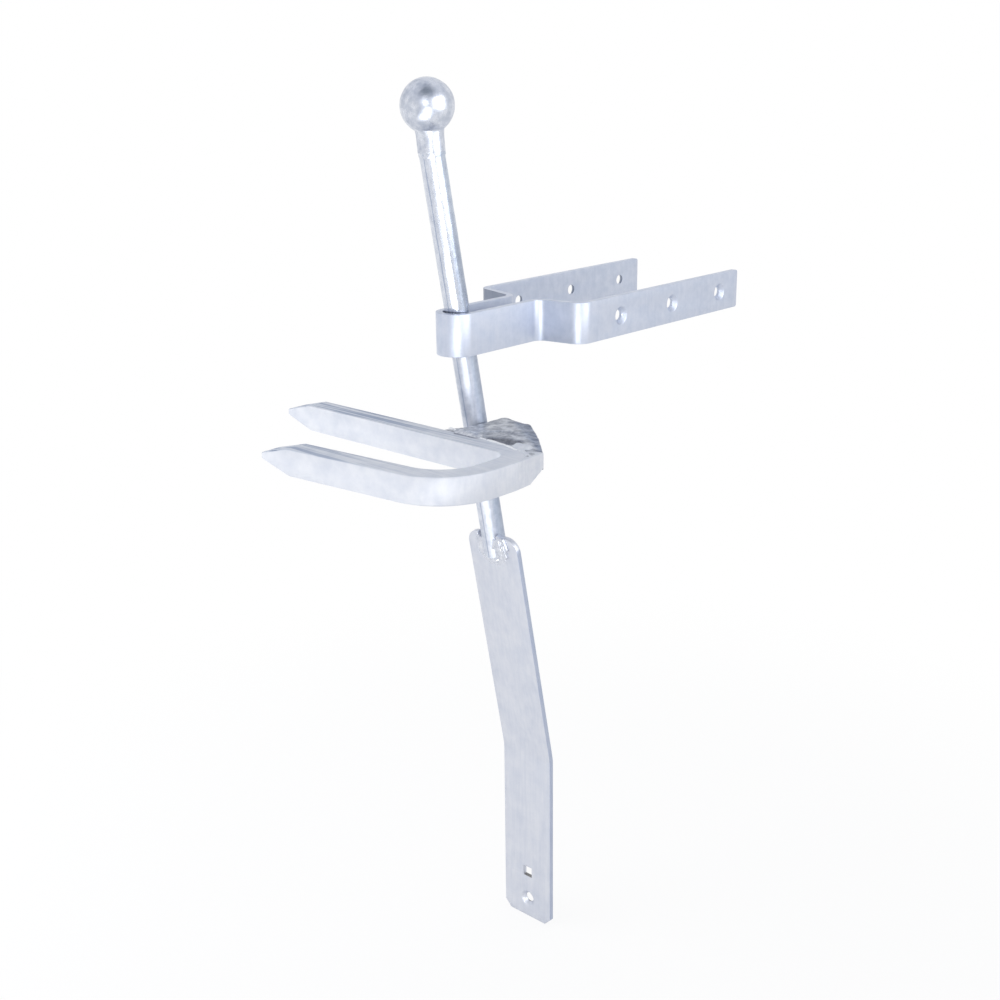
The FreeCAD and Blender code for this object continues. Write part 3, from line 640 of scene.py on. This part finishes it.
HOOK_LOW, HOOK_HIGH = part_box("catch_hook")
HOOK_FILL = (mm(-84.5, -61, 436), Vector((-67 * MM, -29 * MM, HOOK_HIGH.z)))
HOOK_NET, HOOK_PASSES = 0.65 * MM, 2
RAMP = [RAMP_START, mm(-28.5, -26, 0), mm(-53, -57, 0), mm(-80.5, -84.5, 0)]
RAMP_BEVEL, RAMP_DROP = 10 * MM, 1.8 * MM
HOLLOW_DEPTH = 3 * MM
HOLLOW_EDGE, HOLLOW_STEEPNESS = 1.05, 2.2
WEAR_STEEPNESS = 1.6
TOP_LUMPS = [(0.5, 9 * MM, 11), (0.16, 4 * MM, 4)]
SIDE_LUMPS = [(0.2, 5 * MM, 8)]


def eased(share):
    share = min(1, max(0, share))
    return share * share * (3 - 2 * share)


def from_line(place, points):
    """Distance in plan from a place to a line of points."""
    flat = Vector((place.x, place.y, 0))
    nearest = math.inf
    for start, end in zip(points, points[1:]):
        share = (flat - start).dot(end - start) / (end - start).length_squared
        foot = start + (end - start) * min(1, max(0, share))
        nearest = min(nearest, (flat - foot).length)
    return nearest


def in_hollow(place):
    """1 in the middle of the hollow between the welds, 0 outside it."""
    away = Vector((place.x, place.y, 0)) - HOLLOW_CENTRE
    length = away.x * math.cos(HOLLOW_TURN) + away.y * math.sin(HOLLOW_TURN)
    width = away.y * math.cos(HOLLOW_TURN) - away.x * math.sin(HOLLOW_TURN)
    reach = math.hypot(length / HOLLOW_REACH[0], width / HOLLOW_REACH[1])
    return eased(HOLLOW_STEEPNESS * (HOLLOW_EDGE - reach))


def add_block(shape, low, high):
    middle = (low + high) / 2
    size = high - low
    bmesh.ops.create_cube(shape, size=1,
                          matrix=Matrix.Translation(middle) @ Matrix.Diagonal((*size, 1)))


def worn(place, normal):
    """How far the top sinks at the bevel and the hollow, with a torch-cut roughness."""
    share = (place.z - HOOK_LOW.z) / (HOOK_HIGH.z - HOOK_LOW.z)
    upper = eased(share * WEAR_STEEPNESS - (WEAR_STEEPNESS - 1))
    drop = RAMP_DROP * eased(1 - from_line(place, RAMP) / RAMP_BEVEL)
    drop += HOLLOW_DEPTH * in_hollow(place)
    sink = Vector((0, 0, upper * (lumps(place, TOP_LUMPS) * MM - drop)))
    return sink + normal * MM * lumps(place, SIDE_LUMPS) * (1 - upper)


def make_hook():
    shape = cleaned("catch_hook")
    add_block(shape, *HOOK_FILL)
    piece = move(remeshed(new_piece("hook", shape), HOOK_NET, HOOK_PASSES), worn)
    coat(piece, hook_zinc(), ROUND_CREASE)
    stand_in(piece, "catch_hook", FIXED)


# Welds: soft uneven beads over the CAD ones.

RIPPLE_SIZE, RIPPLE_SEED = 4 * MM, 21
SKIN_SIZE, SKIN_SEED = 2.6 * MM, 2
BEAD_PASSES = 4


def bead(shape, places, radius, ripple=0.18, step=0.5):
    """A bead as overlapping balls along a line of places."""
    for start, end in zip(places, places[1:]):
        count = max(1, round((end - start).length / (radius * step)))
        for k in range(count + 1):
            centre = start.lerp(end, k / count)
            size = radius * (1 + ripple * lump(centre, RIPPLE_SIZE, RIPPLE_SEED))
            bmesh.ops.create_icosphere(shape, subdivisions=2, radius=size,
                                       matrix=Matrix.Translation(centre))


def add_hull(shape, places):
    corners = [shape.verts.new(place) for place in places]
    bmesh.ops.convex_hull(shape, input=corners)


def finish_bead(shape, node, body, zinc, net, rough=0.25):
    """Fuse a weld's shape, make it uneven and let it stand for its node."""

    def uneven(place, normal):
        return normal * rough * MM * lump(place, SKIN_SIZE, SKIN_SEED)

    piece = move(remeshed(new_piece(node + "_bead", shape), net, BEAD_PASSES), uneven)
    coat(piece, zinc, ROUND_CREASE)
    stand_in(piece, node, body)


ARM_BEADS = [([mm(-80, -10, 445.2), mm(-66, -23, 445)], 2.4 * MM),
             ([mm(-66, -23, 445), mm(-57, -33, 445)], 2.2 * MM),
             ([mm(-80, 1, 446), mm(-83.6, -14, 446), mm(-84.2, -34, 446), mm(-86, -56, 446)],
              1.1 * MM)]


def make_arm_weld():
    """The bead at the hook's arm, and a thin toe that runs back along the leg."""
    shape = cleaned("arm_weld")
    for places, radius in ARM_BEADS:
        bead(shape, places, radius)
    finish_bead(shape, "arm_weld", FIXED, weld_zinc(), net=0.45 * MM)


RIM_LINE = [mm(-78, 6, 445.6), mm(-83.2, -12, 445.7), mm(-84, -34, 445.7), mm(-86, -54, 445.7),
            mm(-90, -68, 445.6)]
RIM_RADIUS = 1.5 * MM
RIM_NET, RIM_PASSES = 0.4 * MM, 3


def make_rim():
    """The line of zinc where the plate meets the leg's upper edge, with a painted highlight."""
    shape = bmesh.new()
    bead(shape, RIM_LINE, RIM_RADIUS, ripple=0.25, step=0.4)
    piece = remeshed(new_piece("rim", shape), RIM_NET, RIM_PASSES)
    coat(piece, rim_highlight_zinc(), ROUND_CREASE)
    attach(piece, FIXED)


END_BEAD = [mm(-85, -62, 445), mm(-94, -83, 444.6)]
END_BEAD_RADIUS = 2.6 * MM
END_SKIN_TOP = 445.9
END_SKIN_LOW = [(-111, -87.95, 426.6), (-105, -87.6, 426.5), (-96, -86.6, 426.8),
                (-80.6, -85.2, 434.6), (-83, -80, 434), (-100, -78, 426.6)]


def make_end_weld():
    """The bead on top, and the skin that runs from the bow's side over the hook's end."""
    shape = cleaned("end_weld")
    bead(shape, END_BEAD, END_BEAD_RADIUS)
    add_hull(shape, [mm(x, y, z) for x, y, low in END_SKIN_LOW for z in (low, END_SKIN_TOP)])
    finish_bead(shape, "end_weld", FIXED, seam_zinc(), net=0.5 * MM, rough=0.12)


RING_HALF, RING_RISE = 2.4 * MM, 0.15 * MM
RING_STEPS, RING_AROUND = 8, 72
RING_PROUD = 0.2
RING_LUMPS = [(0.05, 3 * MM, 6)]


def make_knob_weld(zinc):
    """A low ring, nearly ground away on the left and standing proud on the right."""
    radius = (2 * ROD_RADIUS + NECK_RADIUS) / 3
    shares = [k / RING_STEPS for k in range(-RING_STEPS, RING_STEPS + 1)]
    profile = [(RING_HALF * (1 + share), radius + RING_RISE * math.cos(math.pi / 2 * share))
               for share in shares]
    start = ROD_TOP + ROD_AXIS * (KNOB_GAP - RING_HALF)

    def relief(spot):
        right = (spot - start).normalized().dot(PHOTO_RIGHT)
        return (RING_PROUD * max(0, right) + lumps(spot, RING_LUMPS)) * MM

    piece = turned("knob_bead", start, start + ROD_AXIS, profile, RING_AROUND, relief)
    coat(piece, zinc, ROUND_CREASE)
    stand_in(piece, "knob_weld", SWING)


LEAF_LEAN = math.radians(11.1)
LEAF_FACE = mm(-4, 0, 156)


def on_leaf(line, out):
    """Places (y, z) on the leaf's leaning front face, or out from it; all in millimetres."""
    places = []
    for y, z in line:
        face = mm(0, y, z)
        face.x = LEAF_FACE.x - (z * MM - LEAF_FACE.z) * math.tan(LEAF_LEAN)
        places.append(face + Vector((-math.cos(LEAF_LEAN), 0, -math.sin(LEAF_LEAN))) * out * MM)
    return places


WELD_BACK, NOTCH_FRONT, NUGGET_FRONT = -3.6, 0.1, 0.7
NOTCH_RIM = [(-13.5, 353.5), (-11, 337), (-4, 332.2), (5, 332.2), (12, 336), (14.6, 341),
             (14.8, 352)]
NOTCH_BEAD_OUT, NOTCH_BEAD_RADIUS = -1.6, 2 * MM
NUGGET = [(-3, 349), (-6, 353), (-12, 354), (-15, 347), (-13.5, 339), (-8.5, 337.5), (-4, 342)]
NUGGET_BEADS = [([(-0.5, 346), (-3.5, 351.5), (-8, 355), (-13, 355.5), (-15.6, 347.5)], 1.2 * MM),
                ([(-8, 353), (-8.9, 345.7), (-9, 339)], 1.7 * MM),
                ([(-12, 350), (-13.6, 341)], 1.4 * MM)]
FOOT_BEAD = [(9.5, 337), (-2, 335.5)]
FOOT_BEAD_OUT, FOOT_BEAD_RADIUS = -0.4, 2.4 * MM


def make_rod_weld():
    """The notch filled flush, a soft rim round it and a nugget right of the rod."""
    shape = bmesh.new()
    add_hull(shape, on_leaf(NOTCH_RIM, WELD_BACK) + on_leaf(NOTCH_RIM, NOTCH_FRONT))
    bead(shape, on_leaf(NOTCH_RIM[1:], NOTCH_BEAD_OUT), NOTCH_BEAD_RADIUS)
    add_hull(shape, on_leaf(NUGGET, WELD_BACK) + on_leaf(NUGGET, NUGGET_FRONT))
    for line, radius in NUGGET_BEADS:
        bead(shape, on_leaf(line, NUGGET_FRONT), radius, ripple=0.05)
    bead(shape, on_leaf(FOOT_BEAD, FOOT_BEAD_OUT), FOOT_BEAD_RADIUS, ripple=0.1)
    finish_bead(shape, "rod_weld", SWING, leaf_weld_zinc(), net=0.4 * MM, rough=0.1)


# Studio: a white floor and ground, a pale card overhead with a dark middle, a lamp at the left
# that fills, and four lamps that only shine.

WHITE = (1, 1, 1, 1)
DISC_SIDES = 64
FLOOR_RADIUS, FLOOR_GAP = 9, 0.2 * MM
FLOOR_TONE = (0.92, 0.92, 0.93, 1)
SHADOW_SHARE = 0.14
SHADOW_LIMITS = (0.32, 0.8)


def new_tree(name):
    material = bpy.data.materials.new(name)
    material.use_nodes = True
    material.node_tree.nodes.clear()
    return material, material.node_tree


def disc(name, radius, material):
    shape = bmesh.new()
    bmesh.ops.create_circle(shape, cap_ends=True, segments=DISC_SIDES, radius=radius)
    piece = new_piece(name, shape)
    piece.data.materials.append(material)
    return piece


def seen_share(tree):
    """1 for rays from the camera, mirrored or let through, 0 for those that only light."""
    path = node_of(tree, "ShaderNodeLightPath").outputs
    seen = maths(tree, "MAXIMUM", path["Is Camera Ray"], path["Is Glossy Ray"])
    return maths(tree, "MAXIMUM", seen, path["Is Transmission Ray"])


def from_middle(tree):
    """Distance from the middle of a disc."""
    return vector_maths(tree, "LENGTH", object_place(tree))


def make_floor():
    """White where it is seen, with a light shadow kept near the object."""
    material, tree = new_tree("ground")
    lit = node_of(tree, "ShaderNodeBsdfDiffuse", {"Color": FLOOR_TONE}).outputs[0]
    share = span_of(tree, from_middle(tree), SHADOW_LIMITS, SHADOW_SHARE, 0.0,
                    interpolation_type="SMOOTHSTEP")
    white = node_of(tree, "ShaderNodeEmission", {"Color": WHITE, "Strength": 1.0}).outputs[0]
    mixed = node_of(tree, "ShaderNodeMixShader", {"Fac": share, 1: white, 2: lit}).outputs[0]
    shown = node_of(tree, "ShaderNodeMixShader", {"Fac": seen_share(tree), 1: lit, 2: mixed})
    node_of(tree, "ShaderNodeOutputMaterial", {"Surface": shown.outputs[0]})
    floor = disc("floor", FLOOR_RADIUS, material)
    floor.location.z = LEAF_LOW.z - FLOOR_GAP


CEILING_PLACE = (-0.5, -0.36, 1.5)
CEILING_RADIUS = 2.6
CEILING_TONES = [(0.13, (0.2, 0.24, 0.29)), (0.24, (0.86, 0.88, 0.93)), (1, (1, 1, 1))]


def make_ceiling():
    """A pale card overhead, dark in the middle; the camera doesn't see it."""
    material, tree = new_tree("card")
    share = maths(tree, "DIVIDE", from_middle(tree), CEILING_RADIUS)
    tone = ramp_of(tree, share, CEILING_TONES)
    glow = node_of(tree, "ShaderNodeEmission", {"Color": tone, "Strength": 1.0})
    node_of(tree, "ShaderNodeOutputMaterial", {"Surface": glow.outputs[0]})
    ceiling = disc("ceiling", CEILING_RADIUS, material)
    ceiling.location = CEILING_PLACE
    ceiling.visible_camera = False


GROUND_LIGHT = 0.85


def make_world():
    """A white ground that lights a little less than it shows."""
    world = bpy.data.worlds.new("studio")
    bpy.context.scene.world = world
    world.use_nodes = True
    tree = world.node_tree
    tree.nodes.clear()
    strength = span_of(tree, seen_share(tree), (0, 1), GROUND_LIGHT)
    ground = node_of(tree, "ShaderNodeBackground", {"Color": WHITE, "Strength": strength})
    node_of(tree, "ShaderNodeOutputWorld", {"Surface": ground.outputs[0]})


CAMERA_PLACE = mm(-767.95, -675.69, 710.41)
CAMERA_YAW = math.radians(47.421)
CAMERA_PITCH = math.radians(18.227)
CAMERA_ROLL = math.radians(0.716)
CAMERA_LENS, CAMERA_FRAME = 50.045, 36


def make_camera():
    """The camera as it was fitted to the photo."""
    right = Vector((math.cos(CAMERA_YAW), -math.sin(CAMERA_YAW), 0))
    level = Vector((math.sin(CAMERA_YAW), math.cos(CAMERA_YAW), 0))
    ahead = level * math.cos(CAMERA_PITCH) - Vector((0, 0, math.sin(CAMERA_PITCH)))
    down = -(Vector((0, 0, math.cos(CAMERA_PITCH))) + level * math.sin(CAMERA_PITCH))
    image_right = right * math.cos(CAMERA_ROLL) + down * math.sin(CAMERA_ROLL)
    image_down = down * math.cos(CAMERA_ROLL) - right * math.sin(CAMERA_ROLL)
    camera = bpy.data.objects.new("camera", bpy.data.cameras.new("camera"))
    bpy.context.scene.collection.objects.link(camera)
    turn = Matrix((image_right, -image_down, -ahead)).transposed()
    camera.matrix_world = Matrix.Translation(CAMERA_PLACE) @ turn.to_4x4()
    camera.data.lens = CAMERA_LENS
    camera.data.sensor_width = CAMERA_FRAME
    bpy.context.scene.camera = camera


# Lamps. Each is its name, azimuth and elevation in degrees, distance, size, radiance and kind.
# A shine lamp only shows in the zinc, a fill lamp only lights the dull part of its colour.

SHINE, FILL = "shine", "fill"
AIM = Vector((-0.03, 0, 0.4))
CAMERA_AZIMUTH = -47.4
LAMPS = [("left", -85, 0, 1.3, (1.2, 0.7), 3, FILL),
         ("low_front", 0, -1, 0.66, (0.25, 0.22), 6.5, SHINE),
         ("low_core", -21, -21, 0.66, (0.37, 0.27), 3.0, SHINE),
         ("window", 52, 21, 1.2, (1.1, 1.02), 2.3, SHINE),
         ("small", -7, 27, 1.2, (0.09, 0.09), 60, SHINE)]


def make_lamp(name, azimuth, elevation, distance, size, radiance, kind):
    """A soft lamp, seen from AIM. Azimuth is counted from the camera to its right."""
    turn = math.radians(CAMERA_AZIMUTH + azimuth)
    rise = math.radians(elevation)
    out = Vector((math.sin(turn) * math.cos(rise), -math.cos(turn) * math.cos(rise), math.sin(rise)))
    light = bpy.data.lights.new(name, "AREA")
    light.shape = "RECTANGLE"
    light.size, light.size_y = size
    light.energy = radiance * math.pi * size[0] * size[1]
    lamp = bpy.data.objects.new(name, light)
    bpy.context.scene.collection.objects.link(lamp)
    lamp.location = AIM + out * distance
    lamp.rotation_euler = (-out).to_track_quat("-Z", "Y").to_euler()
    lamp.visible_camera = False
    lamp.visible_diffuse = kind == FILL
    lamp.visible_glossy = kind == SHINE


make_leaf()
shared_rod_zinc = rod_zinc()
make_rod(shared_rod_zinc)
make_ball()
make_strap()
make_staple()
make_hook()
make_arm_weld()
make_rim()
make_end_weld()
make_knob_weld(shared_rod_zinc)
make_rod_weld()
make_floor()
make_ceiling()
make_world()
make_camera()
for lamp_settings in LAMPS:
    make_lamp(*lamp_settings)
bpy.context.scene.view_settings.view_transform = "Standard"
